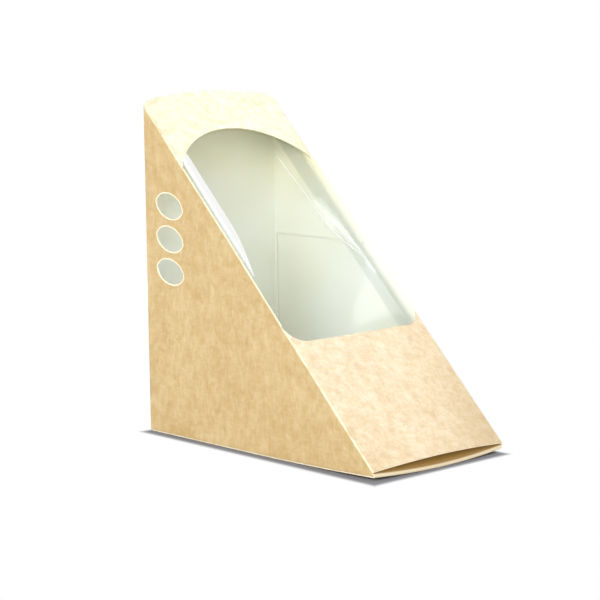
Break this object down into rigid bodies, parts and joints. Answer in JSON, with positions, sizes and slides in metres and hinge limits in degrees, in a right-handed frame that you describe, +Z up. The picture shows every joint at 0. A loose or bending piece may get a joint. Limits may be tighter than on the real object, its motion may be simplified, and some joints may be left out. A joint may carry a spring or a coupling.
{
  "type": "sandwich wedge pack",
  "caption": "Triangular kraft board pack for a cut sandwich, with an arched clear film window, leaf-shaped side vents and a base panel that opens at the back crease and tucks in at the front.",
  "frame": {"origin": "on the table under the middle of the closed pack's box, its arched lip and bowed front counted", "axes": "+X across the width, to the right of someone who faces the window; -Y is the side the sloping front faces and +Y the upright back panel; +Z up"},
  "size_m": [0.065, 0.1254, 0.1267],
  "materials": {
    "kraft_board": "matte",
    "clear_film": "gloss"
  },
  "bodies": {
    "base": {"base_lid": "kraft_board"},
    "pack": {"carton": "kraft_board", "window_film": "clear_film"}
  },
  "joints": [
    {"name": "base_hinge", "type": "hinge", "parent": "base", "child": "pack", "pos_m": [0, 0.05875, 0], "axis": [-1, 0, 0], "range_deg": [0, 88]}
  ]
}
